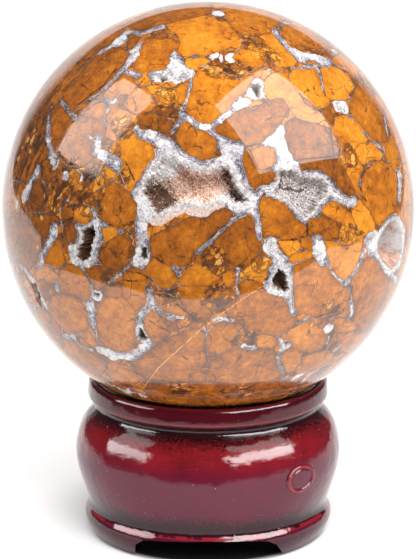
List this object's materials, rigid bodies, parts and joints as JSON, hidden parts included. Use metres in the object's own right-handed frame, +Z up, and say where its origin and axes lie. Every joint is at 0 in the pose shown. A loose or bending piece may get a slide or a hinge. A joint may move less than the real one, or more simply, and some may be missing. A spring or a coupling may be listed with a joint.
{
  "type": "agate sphere on stand",
  "caption": "Polished agate ball with open crystal-lined hollows, resting in the dished collar of a turned wooden stand on three feet.",
  "frame": {"origin": "on the table, centre of the bounding box's underside, under the middle of the ball", "axes": "+Z up, the main hollow faces -Y, +X to the right as seen from the front"},
  "size_m": [0.08, 0.08, 0.105],
  "materials": {
    "agate": "polished",
    "crystal": "sparkling druse",
    "lacquered_wood": "worn gloss lacquer",
    "plug_wood": "worn gloss lacquer"
  },
  "bodies": {
    "root": {"agate_ball": "agate", "main_hollow_crystals": "crystal", "side_basin_crystals": "crystal", "right_bowl_crystals": "crystal", "left_pocket_crystals": "crystal", "lower_pocket_crystals": "crystal", "back_hollow_crystals": "crystal", "wooden_stand": "lacquered_wood", "stand_plug": "plug_wood"}
  },
  "joints": []
}
